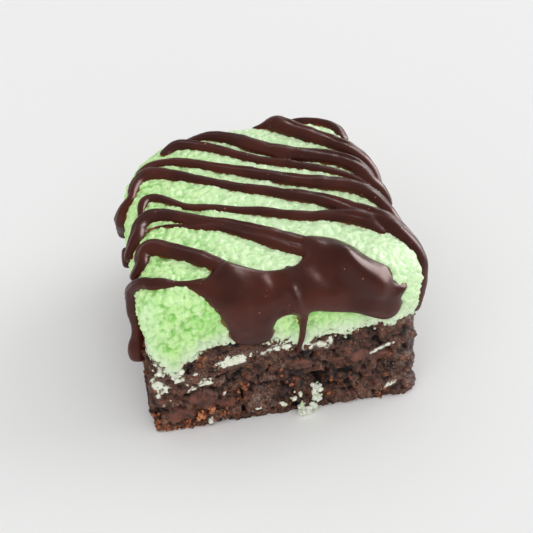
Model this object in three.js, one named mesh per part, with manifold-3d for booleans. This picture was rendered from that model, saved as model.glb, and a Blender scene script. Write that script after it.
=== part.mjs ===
// A square of chocolate brownie under a thick layer of mint cream, with chocolate poured over it.
// Millimetres, +Z up. The origin is the middle of the underside, and -Y is the cut face in front.
import * as THREE from "three";
import { mergeVertices } from "three/addons/utils/BufferGeometryUtils.js";
import Module from "manifold-3d";

const wasm = await Module();
wasm.setup();

// Driving dimensions of the cut square
const HALF_WIDTH = 27.5;
const HALF_DEPTH = 28;
const HEIGHT = 34; // floor to the middle of the mint top
const TOP_FALL = 1; // how far the mint top sinks from its middle to its rim
const RIM_RADIUS = 5; // the mint's rounded upper edge
const SEAM_HEIGHT = 18; // where the mint lies on the brownie, away from the front
const LAYER_GAP = 0.75;

// Corner sharpness of the plan: a higher power is a squarer corner
const FRONT_CORNER = 20;
const BACK_LEFT_CORNER = 2.6;
const BACK_RIGHT_CORNER = 6;

// Grid of the two blocks: columns across, rings of the rim drawn closer together
const COLUMNS = 20;
const BASE_ROWS = 6;
const MINT_ROWS = 5;
const RIM_CROWDING = 1.35;

// Poured chocolate
const STRAND_SIDES = 8;
const STRAND_STEP = 2.6;
const STRAND_FLATNESS = 0.85; // height over width where it lies on top
const HANGING_FULLNESS = 3.1; // narrow strands that hang down a side are rounder
const STRAND_LIFT = 0.3; // of its own height, above the skin
const HANG_HEIGHT = 26; // below this, strands hang straight down from the bulge of the mint
const POOL_THICKNESS = 1.4;

// The seam on the front face, from left to right, as x and height
const FRONT_SEAM = [
  [-28, 18], [-24, 15.2], [-21.5, 13], [-18.5, 16.4], [-14.6, 18.6], [-8.7, 20],
  [-2.9, 17.6], [3, 16.5], [9, 17.8], [17, 18.1], [28, 18.6],
];
const SEAM_FADE = 12; // how far back from the front face its dips reach

// Hollows and lumps of the brownie's front face: x, height, radius and how far they stand out
const FRONT_CRAGS = [
  [5.8, 7.4, 3, -1.6], [-15.8, 6, 2.6, 0.9], [3.8, 2, 1.7, 1.1], [5.4, 5.2, 1.2, 0.6],
  [-22, 9.5, 3.4, 0.7], [-8, 12.5, 3.2, -0.7], [12.5, 13.5, 3, 0.6], [20, 8.5, 3.4, -0.7],
  [-3, 4.5, 2.6, 0.6], [16, 3.2, 2.6, 0.5], [-24.5, 3, 2.2, -0.8], [10.5, 10, 2.2, -0.6],
];

// Strands as x, y, width, and height where they hang below the rim
const STRANDS = [
  // the short loop at the back, and the wide band in front of it that runs down the right side
  [[11, 27.6, 1.8], [15, 27.8, 2.4], [18.8, 26.9, 2.8], [22, 24.6, 2.8], [24, 20.8, 2.6],
    [24.9, 17, 2.2]],
  [[5, 26.6, 1.4], [7.6, 26.4, 2.9], [10.2, 25.2, 4.5], [13.2, 21.4, 4.5], [17.3, 17.4, 4],
    [19.9, 15.3, 3.8], [22.4, 12.9, 3.6], [24.9, 10.7, 3.3], [27, 8.2, 3, 30.5], [28, 5.8, 2.6, 27.5],
    [28.2, 4.2, 2, 24.5]],
  // the two strands that meet the right edge behind the middle
  [[-11, 23.5, 1.4], [-7.5, 23.5, 2], [-4.4, 23.3, 2.6], [-2, 22, 3], [0.5, 20.1, 3.5],
    [4.5, 15.9, 3.8], [8.9, 12.6, 3.8], [13.3, 10.7, 3.7], [16.8, 9.7, 3.8], [20, 8, 3.8],
    [22.6, 5.4, 3.7], [24.4, 2.4, 3.4], [25.8, 0.2, 2.9], [27.2, -1.2, 2.5, 30], [27.6, -1.8, 2, 27]],
  [[-15.8, 18.6, 2], [-14.2, 20.3, 2.6], [-12, 21.1, 2.9], [-9.2, 20.5, 2.8], [-5.8, 18.7, 2.5],
    [-2.7, 16.3, 2.3], [0.4, 13.7, 2.1], [3.5, 11.3, 2.1], [8.1, 9.1, 2.1], [12.5, 6.9, 2],
    [16.9, 4.9, 1.8], [20, 2.8, 1.6], [22.4, 0.4, 1.4], [24.4, -1.8, 1.2]],
  // the strand across the middle
  [[-23.6, 9.2, 1.2, 31.5], [-22.8, 11.6, 1.8], [-21.3, 13.3, 2], [-19.2, 14.7, 2.1],
    [-16.7, 15.2, 2.2], [-13.6, 14.8, 2.3], [-10.5, 13.4, 2.4], [-7.3, 11.5, 2.5], [-4.1, 9.5, 2.6],
    [0.2, 7.1, 2.9], [2.4, 5.7, 3], [6.6, 3.4, 3.1], [10.9, 1.4, 3.3], [15.3, -0.2, 3.5],
    [18.5, -1.3, 3.6], [21.3, -3.2, 3.5], [23.6, -5.9, 3.2], [25.5, -8.7, 2.8], [27.4, -11.4, 2.6],
    [28, -13.6, 1.9, 30]],
  // the long strand that hangs down the left side and widens to the right, and the two beside it
  [[-25.8, 8, 1.6, 21.5], [-26.1, 6.6, 2.4, 25], [-26.4, 5, 2.6, 28], [-26.4, 4.8, 2.3, 30.5],
    [-25.6, 6.2, 1.9], [-24.4, 8.2, 2.2], [-22.6, 10.4, 2.7], [-20, 11.6, 3.1], [-17.4, 11.2, 3],
    [-14.8, 9.9, 2.8], [-11.6, 8, 2.4], [-8.4, 6, 2.2], [-5.3, 3.8, 2.2], [-1, 1.3, 2.4],
    [3.3, -0.6, 2.6], [5.4, -2, 2.8], [9.7, -3.9, 3], [13.9, -6.5, 3.3], [16.8, -9, 3.6],
    [18.9, -11, 4], [22, -13.7, 4.4], [24.2, -15.8, 4.4], [26, -18.2, 4.1], [27.3, -20.4, 3.7, 31.5],
    [28, -22.2, 3.2, 27.5], [27.8, -22.9, 2.6, 23.5], [27.4, -23, 1.8, 19.5], [27.2, -22.6, 1.1, 16.5]],
  [[-26.6, 3, 1.1, 22.5], [-26.6, 3.4, 1.5, 19.5], [-26.4, 4, 1.2, 16.5]],
  [[-23.8, -2.5, 1.2], [-22.9, 0.9, 1.8], [-21.4, 3, 2], [-19.3, 3, 2], [-17.3, 1.5, 1.8],
    [-15.3, -0.4, 1.6], [-13.3, -2, 1.6], [-10, -3, 1.8], [-6.9, -4.3, 1.8], [-3.7, -5.6, 1.8],
    [-0.2, -6.7, 2.1], [3.9, -8.6, 2.3], [8.1, -10.2, 2.4], [12.4, -11.1, 2.7], [15.5, -11.9, 3.2],
    [18.5, -13.4, 3.5], [21, -15.6, 3.4], [23.2, -18, 3]],
  // the strands that run into the pool, and the thin one beside the first
  [[-26.6, -10.3, 2, 28.6], [-26.4, -9.2, 2.8, 31], [-25.8, -7.2, 3.1], [-24.8, -5.2, 3.1],
    [-23.2, -3.9, 3.2], [-20.9, -3.1, 3.2], [-18.6, -3.5, 3], [-16.1, -4.9, 2.8], [-13, -6.5, 2.5],
    [-9.9, -8.1, 2.4], [-6.7, -9.6, 2.4], [-3.7, -11.5, 2.6], [0.1, -14.4, 3], [3.8, -16.9, 3.2],
    [7, -18.6, 2.4], [10, -20, 1]],
  [[-23, -7, 0.8], [-21, -6.4, 0.8], [-17.5, -7, 0.9], [-14, -8.5, 1.1], [-11.9, -9.3, 1.5],
    [-9.1, -10.1, 1.9], [-6.1, -12, 2], [-2.3, -15, 2.3], [2, -18.6, 2.6], [5.4, -20.8, 2.2],
    [8.5, -22.6, 1]],
  [[-27, -17.6, 2.2, 29.6], [-26.7, -16.2, 2.9], [-25.7, -14.4, 3.3], [-24.5, -13.3, 3.5],
    [-22.9, -13.2, 3.7], [-21.3, -13.9, 3.7], [-18.7, -15.6, 3.5], [-16, -17.6, 3.4],
    [-13.1, -19.8, 3.3], [-10, -22, 2.4], [-7, -23.6, 1]],
  // the strand along the front rim, whose end hangs down the left side as a drop
  [[-27.5, -18.8, 2.5, 10.8], [-27.6, -18.8, 3.2, 13.5], [-27.6, -18.6, 1.7, 17],
    [-27.8, -18.4, 1.5, 20], [-28.3, -18.4, 2.5, 24.3], [-28.2, -19, 2.6, 28], [-27.5, -20.2, 2.3, 31],
    [-26.4, -22, 2.4], [-25, -23.1, 2.4], [-23.4, -23.7, 2.3], [-21.8, -24.1, 1.8], [-20, -24.6, 1.3],
    [-17.4, -25, 1.3], [-14, -24.6, 1.4]],
  // the thin drip, a ridge that starts in the pool
  [[0.5, -24, 1.2], [2.4, -26.2, 1.6], [3.5, -28, 1.5, 26], [3.4, -28, 1.3, 22.5],
    [3.3, -28, 1.1, 19.5], [2.8, -28, 0.8, 17], [2.3, -28, 0.7, 14.8]],
];

// The pool's outline, clockwise from its neck, as x and y plus height: points on the skin seen from
// in front and above, where the top runs to about 12 and the drips hang down to about -10
const POOL = [
  [4.5, 17], [7.7, 17.2], [11.6, 15.5], [13.4, 14], [15, 12], [16.6, 9.2], [18.5, 7.1], [20, 6],
  [20.8, 3.8], [21.6, 1.5], [23.8, 0.1], [22.9, -2.3], [23, -4.8], [21.9, -6.8], [19.6, -7.4],
  [16, -5.9], [13.2, -4.6], [9.2, -3.7], [5.6, -2.9], [4.5, -3.4], [4.1, -4.8], [3.9, -6.2], [3, -6.2],
  [2.7, -4.6], [2.2, -3.4], [0.8, -2.8], [-1.3, -3.4], [-2.1, -5.2], [-2.2, -7.2], [-3.5, -8.7],
  [-6.5, -8.9], [-9.1, -8.3], [-10.6, -6.4], [-11.2, -4.2], [-12.6, -0.9], [-14.2, 2.3], [-16.5, 5.8],
  [-18, 7.6], [-16, 8.5], [-14.5, 9.1], [-13.2, 10.4], [-12.4, 11.7], [-10, 13.2], [-7, 11],
  [-2.8, 8.9], [2, 9], [4.2, 10.6], [4.8, 12.4],
];

const mix = (a, b, t) => a + (b - a) * t;
const ease = (from, to, at) => THREE.MathUtils.smoothstep(at, from, to);

// Height of a row of points at x, eased from one point to the next.
function along(points, x) {
  const last = points.length - 1;
  const i = points.findIndex(([px], k) => k === last || x < points[k + 1][0]);
  if (i === last) return points[last][1];
  return mix(points[i][1], points[i + 1][1], ease(points[i][0], points[i + 1][0], x));
}

// Soft unevenness between about -1 and 1, with lumps about `size` across.
function uneven(x, y, z, size) {
  const k = Math.PI / size;
  return (
    0.5 * Math.sin(k * (x + 0.4 * y) + 1.3) * Math.cos(k * (0.8 * z - 0.5 * y) + 0.4) +
    0.5 * Math.sin(k * (1.3 * y + 0.6 * z) + 2.1) * Math.cos(k * (0.9 * x - 0.7 * z) + 4.2) +
    0.3 * Math.sin(k * (1.9 * x + 1.1 * z) + 5.2) * Math.sin(k * (1.7 * y - 1.3 * z) + 0.9)
  );
}

// Walls of the whole square: undercut low on the left, the mint swelling out over the seam.
function leftWall(y, z) {
  const back = y + HALF_DEPTH;
  const foot = -HALF_WIDTH + 0.4 + 0.9 * ease(0, 7, z);
  const low = foot + back * (0.1 - (0.07 * Math.min(z, SEAM_HEIGHT)) / SEAM_HEIGHT);
  return mix(low, -HALF_WIDTH + 0.05 * back, ease(19, 28, z));
}

function rightWall(y, z) {
  const low = HALF_WIDTH + 0.2 - 0.05 * Math.min(z, SEAM_HEIGHT);
  return mix(low, HALF_WIDTH + 0.1 - 0.02 * (y + HALF_DEPTH), ease(18, 24, z));
}

function frontWall(z) {
  return -27.6 - 0.9 * (1 - ease(0, 5, z)) - 0.4 * ease(18, 26, z);
}

// Place in the plan, from -1 to 1 across and from front to back.
function planPlace(x, y, z) {
  const left = leftWall(y, z);
  const right = rightWall(y, z);
  const front = frontWall(z);
  const back = HALF_DEPTH + 0.5;
  return [(2 * x - left - right) / (right - left), (2 * y - front - back) / (back - front)];
}

function planNorm(u, v) {
  const power = v < 0 ? FRONT_CORNER : u < 0 ? BACK_LEFT_CORNER : BACK_RIGHT_CORNER;
  return (Math.abs(u) ** power + Math.abs(v) ** power) ** (1 / power);
}

// The point at a place in the plan, at height z.
function planPoint(u, v, z) {
  const front = frontWall(z);
  const y = mix(front, HALF_DEPTH + 0.5, (v + 1) / 2);
  return new THREE.Vector3(mix(leftWall(y, z), rightWall(y, z), (u + 1) / 2), y, z);
}

function seam(x, y) {
  const inner = SEAM_HEIGHT + 0.9 * Math.sin(0.17 * y + 0.8) + 0.6 * Math.sin(0.23 * x + 2.2);
  return mix(along(FRONT_SEAM, x), inner, ease(0, SEAM_FADE, y + HALF_DEPTH));
}

// The point of the seam at a place in the plan, which both layers share.
function seamPoint(u, v) {
  const level = planPoint(u, v, SEAM_HEIGHT);
  const p = planPoint(u, v, seam(level.x, level.y));
  return p.setZ(seam(p.x, p.y));
}

// How far a point is outside the smooth skin of the square, in millimetres.
function outside(p) {
  const norm = planNorm(...planPlace(p.x, p.y, p.z));
  const inset = (1 - norm) * HALF_WIDTH;
  const depth = HEIGHT - TOP_FALL * Math.min(norm, 1) ** 2 - p.z;
  const across = Math.max(RIM_RADIUS - inset, 0);
  const over = Math.max(RIM_RADIUS - depth, 0);
  if (across === 0 && over === 0) return -Math.min(inset, depth);
  return Math.hypot(across, over) - RIM_RADIUS;
}

function skinNormal(p) {
  const step = 0.05;
  const slope = (axis) => {
    const a = p.clone();
    const b = p.clone();
    a[axis] += step;
    b[axis] -= step;
    return outside(a) - outside(b);
  };
  return new THREE.Vector3(slope("x"), slope("y"), slope("z")).normalize();
}

function ontoSkin(p) {
  const out = p.clone();
  for (let pass = 0; pass < 4; pass++) {
    out.addScaledVector(skinNormal(out), -outside(out));
  }
  return out;
}

// Where a strand that passes p lies: on the skin, or hanging straight down from it.
function resting(p) {
  const below = Math.min(p.z - HANG_HEIGHT, 0);
  const rest = ontoSkin(new THREE.Vector3(p.x, p.y, p.z - below));
  rest.z += below;
  return rest;
}

// A box of COLUMNS by COLUMNS by rows, with each vertex moved to shape(u, v, k):
// u and v are its place in the plan, and k runs from 0 on the underside to 1 on top.
function block(rows, shape) {
  const geometry = new THREE.BoxGeometry(2, 2, 1, COLUMNS, COLUMNS, rows);
  const place = geometry.attributes.position;
  for (let i = 0; i < place.count; i++) {
    const a = place.getX(i);
    const b = place.getY(i);
    const ring = Math.max(Math.abs(a), Math.abs(b));
    const reach = ring ? (1 - (1 - ring) ** RIM_CROWDING) / planNorm(a, b) : 0;
    const p = shape(a * reach, b * reach, place.getZ(i) + 0.5);
    place.setXYZ(i, p.x, p.y, p.z);
  }
  return solidOf(geometry);
}

function solidOf(geometry) {
  for (const name of ["normal", "uv"]) geometry.deleteAttribute(name);
  const merged = mergeVertices(geometry, 1e-4);
  return new wasm.Manifold(
    new wasm.Mesh({
      numProp: 3,
      vertProperties: merged.attributes.position.array,
      triVerts: new Uint32Array(merged.index.array),
    }),
  );
}

// The brownie block, crumbly at its cut sides; `clearance` makes a copy that much larger.
function brownie(clearance) {
  return block(BASE_ROWS, (u, v, k) => {
    const top = seamPoint(u, v);
    top.z -= LAYER_GAP / 2;
    const edge = planNorm(u, v) > 0.999 ? 1 : 0;
    const p = k === 1 ? top.clone() : planPoint(u, v, k * top.z);
    let stands = 0.75 * uneven(p.x, p.y, p.z, 4.5) - 0.1;
    if (v < 0 && Math.abs(v) > Math.abs(u)) {
      for (const [x, z, radius, out] of FRONT_CRAGS) {
        const near = 1 - ease(0, radius, Math.hypot(p.x - x, p.z - z));
        stands += out * near;
      }
    }
    const outward = new THREE.Vector3(Math.sign(u) * Math.abs(u) ** 7, Math.sign(v) * Math.abs(v) ** 7, 0);
    outward.normalize();
    const swell = 4 * k * (1 - k);
    p.addScaledVector(outward, edge * (stands * (0.25 + 0.75 * swell) + clearance));
    p.z += k === 1 ? clearance : 0;
    return p;
  });
}

// The mint layer, lumpy where it was cut in front; `growth` makes a copy with that much on its skin.
function mint(growth) {
  return block(MINT_ROWS, (u, v, k) => {
    const norm = Math.min(planNorm(u, v), 1);
    const inset = Math.max(RIM_RADIUS - (1 - norm) * HALF_WIDTH, 0);
    const fall = RIM_RADIUS - Math.sqrt(RIM_RADIUS ** 2 - inset ** 2);
    const upper = HEIGHT - TOP_FALL * norm ** 2 - fall;
    const lower = seamPoint(u, v);
    lower.z += LAYER_GAP / 2;
    if (k === 0 && !growth) return lower;
    const p = planPoint(u, v, mix(lower.z, upper, k));
    const cut = ease(-24, -27, p.y);
    const lumps = 0.22 * uneven(p.x, p.y, p.z, 5) + 0.5 * cut * uneven(p.x, p.y, p.z, 3.4);
    return p.addScaledVector(skinNormal(p), lumps * Math.min(3 * k, 1) + growth);
  });
}

// A strand of chocolate lying on the skin along a route of x, y, width and height.
function strand(route) {
  const points = route.map(([x, y, , z]) => resting(new THREE.Vector3(x, y, z ?? HEIGHT)));
  const widths = new THREE.CatmullRomCurve3(points.map((p, i) => new THREE.Vector3(i, route[i][2], 0)));
  const curve = new THREE.CatmullRomCurve3(points);
  const length = curve.getLength();
  const tip = route[0][2] / 2;
  const even = Math.ceil((length - 2 * tip) / STRAND_STEP);
  const stations = [0, 0.3 * tip];
  for (let i = 0; i <= even; i++) {
    stations.push(mix(tip, length - tip, i / even));
  }
  stations.push(length - 0.3 * tip, length);
  const swell = [0.35, 0.75];
  const rings = stations.map((at, i) => {
    const t = curve.getUtoTmapping(at / length);
    const centre = resting(curve.getPoint(t));
    const along = curve.getTangent(t);
    const out = skinNormal(centre);
    out.addScaledVector(along, -out.dot(along)).normalize();
    const side = new THREE.Vector3().crossVectors(along, out);
    const end = swell[Math.min(i, stations.length - 1 - i)] ?? 1;
    const half = (end * widths.getPoint(t).y) / 2;
    const hanging = Math.min(HANGING_FULLNESS / (half + 1), 1.5);
    const rise = half * mix(hanging, STRAND_FLATNESS, Math.max(out.z, 0));
    centre.addScaledVector(out, STRAND_LIFT * rise);
    return { centre, side, out, half, rise };
  });
  const geometry = new THREE.CylinderGeometry(1, 1, 1, STRAND_SIDES, rings.length - 1);
  const place = geometry.attributes.position;
  for (let i = 0; i < place.count; i++) {
    const { centre, side, out, half, rise } = rings[Math.round((place.getY(i) + 0.5) * (rings.length - 1))];
    const p = centre.clone().addScaledVector(side, place.getX(i) * half);
    p.addScaledVector(out, place.getZ(i) * rise);
    place.setXYZ(i, p.x, p.y, p.z);
  }
  return solidOf(geometry);
}

// The pool: its outline pushed through the square from in front and above, kept where it meets a
// skin that is POOL_THICKNESS thicker than the mint's.
function pool() {
  const outline = new THREE.Shape(POOL.map(([x, rise]) => new THREE.Vector2(x, rise * Math.SQRT1_2)));
  const geometry = new THREE.ExtrudeGeometry(outline, { depth: 40, bevelEnabled: false });
  geometry.translate(0, 0, 5);
  geometry.rotateX(Math.PI / 4);
  return solidOf(geometry).intersect(mint(POOL_THICKNESS));
}

// Joins the mint and the chocolate on it, clear of the brownie, as one closed body.
function mintWithChocolate() {
  const chocolate = STRANDS.reduce((sum, route) => sum.add(strand(route)), pool());
  const joined = mint(0).add(chocolate.subtract(brownie(LAYER_GAP)));
  return joined.decompose().reduce((a, b) => (b.volume() > a.volume() ? b : a));
}

function meshOf(name, solid, material) {
  const { vertProperties, triVerts } = solid.getMesh();
  const geometry = new THREE.BufferGeometry();
  geometry.setAttribute("position", new THREE.BufferAttribute(vertProperties, 3));
  geometry.setIndex(new THREE.BufferAttribute(triVerts, 1));
  geometry.computeVertexNormals();
  const mesh = new THREE.Mesh(geometry, material);
  mesh.name = name;
  return mesh;
}

const brownieCrumb = new THREE.MeshStandardMaterial({ color: 0x2e1d17, roughness: 0.85, metalness: 0 });
const mintCream = new THREE.MeshStandardMaterial({ color: 0xa6dba0, roughness: 0.6, metalness: 0 });

const cake = new THREE.Group();
cake.add(meshOf("brownie_base", brownie(0), brownieCrumb));
cake.add(meshOf("mint_layer", mintWithChocolate(), mintCream));

export default cake;
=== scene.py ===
import math
import random

import bmesh
import bpy
import numpy as np
from mathutils import Matrix, Vector, noise
from mathutils.kdtree import KDTree


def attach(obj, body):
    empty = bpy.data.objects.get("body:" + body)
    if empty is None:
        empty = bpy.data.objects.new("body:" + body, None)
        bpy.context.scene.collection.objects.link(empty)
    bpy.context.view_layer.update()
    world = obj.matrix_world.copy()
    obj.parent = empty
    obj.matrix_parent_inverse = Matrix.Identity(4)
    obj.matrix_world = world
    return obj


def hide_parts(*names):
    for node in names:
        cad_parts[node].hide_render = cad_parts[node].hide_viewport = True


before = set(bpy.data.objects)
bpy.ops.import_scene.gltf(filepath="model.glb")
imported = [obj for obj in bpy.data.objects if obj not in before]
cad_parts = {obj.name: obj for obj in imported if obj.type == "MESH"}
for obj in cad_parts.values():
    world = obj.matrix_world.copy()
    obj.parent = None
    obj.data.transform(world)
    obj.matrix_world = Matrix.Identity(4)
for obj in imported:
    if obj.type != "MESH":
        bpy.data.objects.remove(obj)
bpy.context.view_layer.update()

MM = 0.001

# Driving sizes of the cut square
HALF_WIDTH = 27.5
HALF_DEPTH = 28
HEIGHT = 34
TOP_FALL = 1
RIM_RADIUS = 5
SEAM_HEIGHT = 18
FRONT_CORNER = 20
BACK_LEFT_CORNER = 2.6
BACK_RIGHT_CORNER = 6
SEAM_FADE = 12
LAYER_LAP = 1.8  # how far each layer's wall runs on behind the other's

# Fineness of the meshes: how many faces, or how far apart
MINT_COLUMNS = 200
MINT_ROWS = 44
BASE_COLUMNS = 190
BASE_ROWS = 62
STRAND_SIDES = 24
STRAND_STEP = 0.45
POOL_STEP = 0.35
CREAM_STEP = 0.32
CHOCOLATE_VOXEL = 0.3
CHOCOLATE_SMOOTHING = 3

# Poured chocolate
STRAND_FLATNESS = 0.85
HANGING_FULLNESS = 3.1  # narrow strands that hang down a side are rounder
STRAND_LIFT = 0.3
GROOVE_DEPTH = 0.38  # of a strand's height, where it is a double ridge
HANG_HEIGHT = 26  # below this, strands hang straight down from the bulge of the mint
POOL_THICKNESS = 1.6
POOL_EDGE = 3  # how far in from its outline the pool reaches its full thickness
POOL_ROOT = 2.2  # how far its underside lies in the mint

# Smears and loose crumbs
CREAM_THICKNESS = 0.26
CREAM_WIDTH = 53.2
CREAM_FOOT = 0.8
CREAM_TOP = 19
CRUMB_EDGE = 26.8  # how far to the sides crumbs lie on the front face
BROWNIE_CRUMBS = 1800
CHOCOLATE_SPECKS = 90
MINT_SPECKS = 40
DRAWS = 11  # start of the random draws

# The camera's place and aim, as the photo's perspective gives them
CAMERA_AT = (-44.96, -210.25, 183.3)
CAMERA_AIM = (7.29, 20.31, -1.4)
CAMERA_LENS = 87.8
TABLE_SIZE = 3  # in metres

# The seam on the front face, from left to right, as x and height
FRONT_SEAM = [
    (-28, 18), (-24, 15.2), (-21.5, 13), (-18.5, 16.4), (-14.6, 18.6), (-8.7, 20),
    (-2.9, 17.6), (3, 16.5), (9, 17.8), (17, 18.1), (28, 18.6),
]

# Hollows and lumps of the brownie's front face: x, height, radius and how far they stand out
FRONT_CRAGS = [
    (5.8, 7.4, 3, -1.6), (-15.8, 6, 2.6, 0.9), (3.8, 2, 1.7, 1.1), (5.4, 5.2, 1.2, 0.6),
    (-22, 9.5, 3.4, 0.7), (-8, 12.5, 3.2, -0.7), (12.5, 13.5, 3, 0.6), (20, 8.5, 3.4, -0.7),
    (-3, 4.5, 2.6, 0.6), (16, 3.2, 2.6, 0.5), (-24.5, 3, 2.2, -0.8), (10.5, 10, 2.2, -0.6),
]

# Strands as x, y, width, and height where they hang below the rim
STRANDS = [
    # the short loop at the back, and the wide band in front of it that runs down the right side
    [(11, 27.6, 1.8), (15, 27.8, 2.4), (18.8, 26.9, 2.8), (22, 24.6, 2.8), (24, 20.8, 2.6),
     (24.9, 17, 2.2)],
    [(5, 26.6, 1.4), (7.6, 26.4, 2.9), (10.2, 25.2, 4.5), (13.2, 21.4, 4.5), (17.3, 17.4, 4),
     (19.9, 15.3, 3.8), (22.4, 12.9, 3.6), (24.9, 10.7, 3.3), (27, 8.2, 3, 30.5), (28, 5.8, 2.6, 27.5),
     (28.2, 4.2, 2, 24.5)],
    # the two strands that meet the right edge behind the middle
    [(-11, 23.5, 1.4), (-7.5, 23.5, 2), (-4.4, 23.3, 2.6), (-2, 22, 3), (0.5, 20.1, 3.5),
     (4.5, 15.9, 3.8), (8.9, 12.6, 3.8), (13.3, 10.7, 3.7), (16.8, 9.7, 3.8), (20, 8, 3.8),
     (22.6, 5.4, 3.7), (24.4, 2.4, 3.4), (25.8, 0.2, 2.9), (27.2, -1.2, 2.5, 30), (27.6, -1.8, 2, 27)],
    [(-15.8, 18.6, 2), (-14.2, 20.3, 2.6), (-12, 21.1, 2.9), (-9.2, 20.5, 2.8), (-5.8, 18.7, 2.5),
     (-2.7, 16.3, 2.3), (0.4, 13.7, 2.1), (3.5, 11.3, 2.1), (8.1, 9.1, 2.1), (12.5, 6.9, 2),
     (16.9, 4.9, 1.8), (20, 2.8, 1.6), (22.4, 0.4, 1.4), (24.4, -1.8, 1.2)],
    # the strand across the middle
    [(-23.6, 9.2, 1.2, 31.5), (-22.8, 11.6, 1.8), (-21.3, 13.3, 2), (-19.2, 14.7, 2.1),
     (-16.7, 15.2, 2.2), (-13.6, 14.8, 2.3), (-10.5, 13.4, 2.4), (-7.3, 11.5, 2.5), (-4.1, 9.5, 2.6),
     (0.2, 7.1, 2.9), (2.4, 5.7, 3), (6.6, 3.4, 3.1), (10.9, 1.4, 3.3), (15.3, -0.2, 3.5),
     (18.5, -1.3, 3.6), (21.3, -3.2, 3.5), (23.6, -5.9, 3.2), (25.5, -8.7, 2.8), (27.4, -11.4, 2.6),
     (28, -13.6, 1.9, 30)],
    # the long strand that hangs down the left side and widens to the right, and the two beside it
    [(-25.8, 8, 1.6, 21.5), (-26.1, 6.6, 2.4, 25), (-26.4, 5, 2.6, 28), (-26.4, 4.8, 2.3, 30.5),
     (-25.6, 6.2, 1.9), (-24.4, 8.2, 2.2), (-22.6, 10.4, 2.7), (-20, 11.6, 3.1), (-17.4, 11.2, 3),
     (-14.8, 9.9, 2.8), (-11.6, 8, 2.4), (-8.4, 6, 2.2), (-5.3, 3.8, 2.2), (-1, 1.3, 2.4),
     (3.3, -0.6, 2.6), (5.4, -2, 2.8), (9.7, -3.9, 3), (13.9, -6.5, 3.3), (16.8, -9, 3.6),
     (18.9, -11, 4), (22, -13.7, 4.4), (24.2, -15.8, 4.4), (26, -18.2, 4.1), (27.3, -20.4, 3.7, 31.5),
     (28, -22.2, 3.2, 27.5), (27.8, -22.9, 2.6, 23.5), (27.4, -23, 1.8, 19.5),
     (27.2, -22.6, 1.1, 16.5)],
    [(-26.6, 3, 1.1, 22.5), (-26.6, 3.4, 1.5, 19.5), (-26.4, 4, 1.2, 16.5)],
    [(-23.8, -2.5, 1.2), (-22.9, 0.9, 1.8), (-21.4, 3, 2), (-19.3, 3, 2), (-17.3, 1.5, 1.8),
     (-15.3, -0.4, 1.6), (-13.3, -2, 1.6), (-10, -3, 1.8), (-6.9, -4.3, 1.8), (-3.7, -5.6, 1.8),
     (-0.2, -6.7, 2.1), (3.9, -8.6, 2.3), (8.1, -10.2, 2.4), (12.4, -11.1, 2.7), (15.5, -11.9, 3.2),
     (18.5, -13.4, 3.5), (21, -15.6, 3.4), (23.2, -18, 3)],
    # the strands that run into the pool, and the thin one beside the first
    [(-26.6, -10.3, 2, 28.6), (-26.4, -9.2, 2.8, 31), (-25.8, -7.2, 3.1), (-24.8, -5.2, 3.1),
     (-23.2, -3.9, 3.2), (-20.9, -3.1, 3.2), (-18.6, -3.5, 3), (-16.1, -4.9, 2.8), (-13, -6.5, 2.5),
     (-9.9, -8.1, 2.4), (-6.7, -9.6, 2.4), (-3.7, -11.5, 2.6), (0.1, -14.4, 3), (3.8, -16.9, 3.2),
     (7, -18.6, 2.4), (10, -20, 1)],
    [(-23, -7, 0.8), (-21, -6.4, 0.8), (-17.5, -7, 0.9), (-14, -8.5, 1.1), (-11.9, -9.3, 1.5),
     (-9.1, -10.1, 1.9), (-6.1, -12, 2), (-2.3, -15, 2.3), (2, -18.6, 2.6), (5.4, -20.8, 2.2),
     (8.5, -22.6, 1)],
    [(-27, -17.6, 2.2, 29.6), (-26.7, -16.2, 2.9), (-25.7, -14.4, 3.3), (-24.5, -13.3, 3.5),
     (-22.9, -13.2, 3.7), (-21.3, -13.9, 3.7), (-18.7, -15.6, 3.5), (-16, -17.6, 3.4),
     (-13.1, -19.8, 3.3), (-10, -22, 2.4), (-7, -23.6, 1)],
    # the strand along the front rim, whose end hangs down the left side as a drop
    [(-27.5, -18.8, 2.5, 10.8), (-27.6, -18.8, 3.2, 13.5), (-27.6, -18.6, 1.7, 17),
     (-27.8, -18.4, 1.5, 20), (-28.3, -18.4, 2.5, 24.3), (-28.2, -19, 2.6, 28), (-27.5, -20.2, 2.3, 31),
     (-26.4, -22, 2.4), (-25, -23.1, 2.4), (-23.4, -23.7, 2.3), (-21.8, -24.1, 1.8), (-20, -24.6, 1.3),
     (-17.4, -25, 1.3), (-14, -24.6, 1.4)],
    # the thin drip, a ridge that starts in the pool
    [(0.5, -24, 1.2), (2.4, -26.2, 1.6), (3.5, -28, 1.5, 26), (3.4, -28, 1.3, 22.5),
     (3.3, -28, 1.1, 19.5), (2.8, -28, 0.8, 17), (2.3, -28, 0.7, 14.8)],
]

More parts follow.
